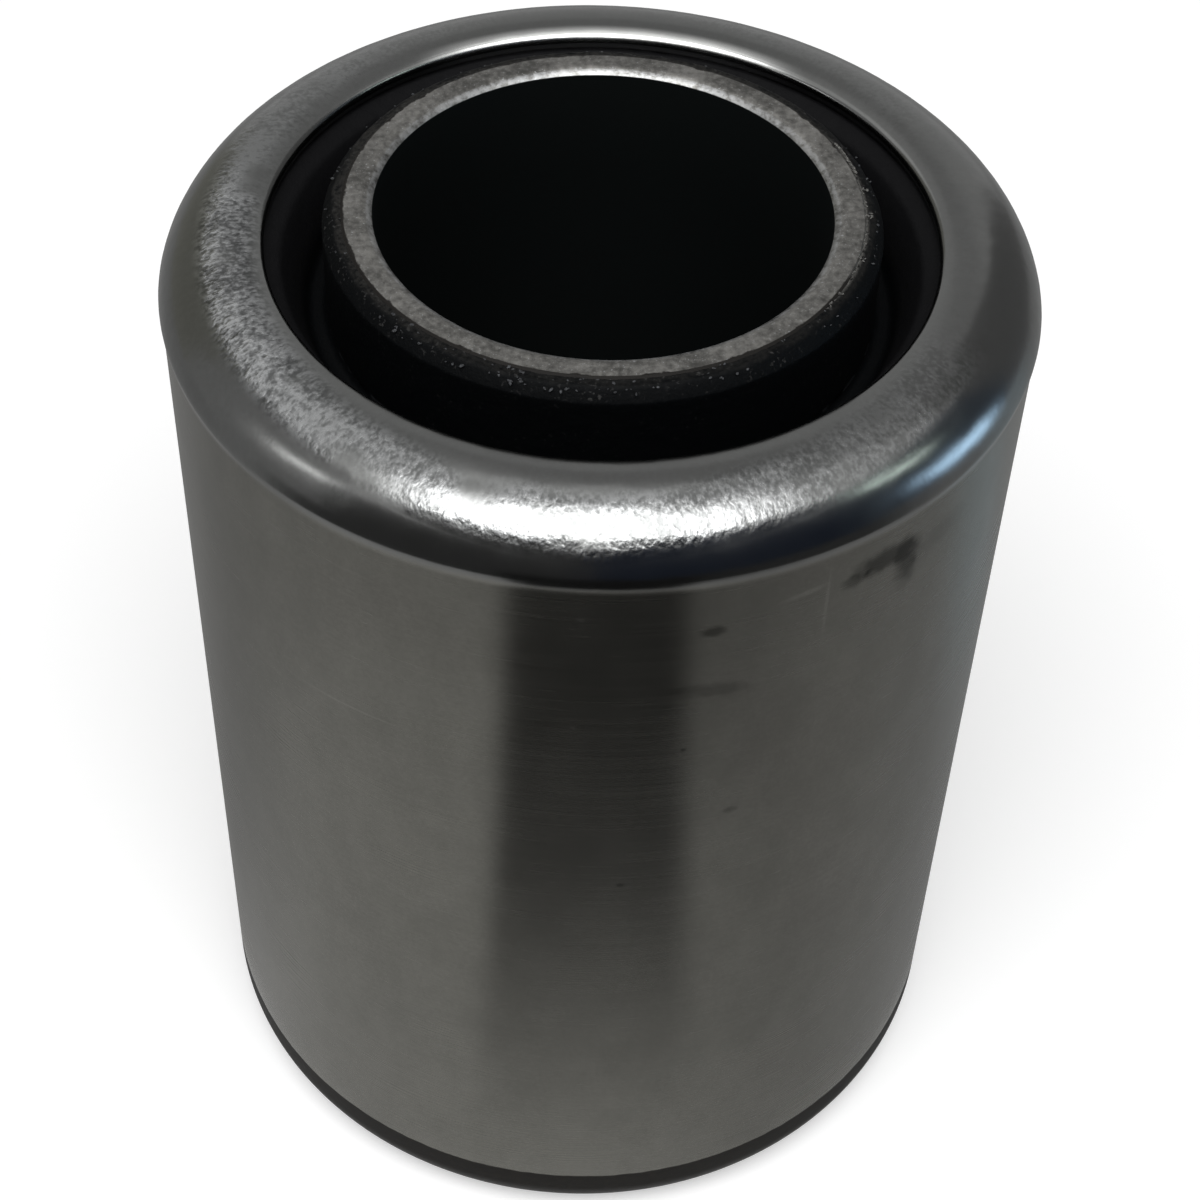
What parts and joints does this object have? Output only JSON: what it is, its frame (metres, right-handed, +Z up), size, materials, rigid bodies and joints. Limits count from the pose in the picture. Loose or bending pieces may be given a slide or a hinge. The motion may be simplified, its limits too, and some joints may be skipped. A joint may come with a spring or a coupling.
{
  "type": "rubber-metal bush",
  "caption": "Round pivot bush: steel outer shell with one end rolled over and one turned in, steel inner sleeve and bonded rubber between them.",
  "frame": {"origin": "centre of the sleeve's lower end face, on the bore axis, at the bottom of the bush", "axes": "+Z up along the bore axis, from the shell's flanged end to its rolled-over end; the bush is round about Z"},
  "size_m": [0.06, 0.06, 0.08],
  "materials": {
    "shell_steel": "ground satin on the cylinder, rolled grain on the lip, dark scale on the lower bend",
    "sleeve_steel": "machined end faces, dull grey bore",
    "rubber": "moulded, matt black"
  },
  "bodies": {
    "root": {"outer_shell": "shell_steel", "inner_sleeve": "sleeve_steel", "rubber_body": "rubber"}
  },
  "joints": []
}
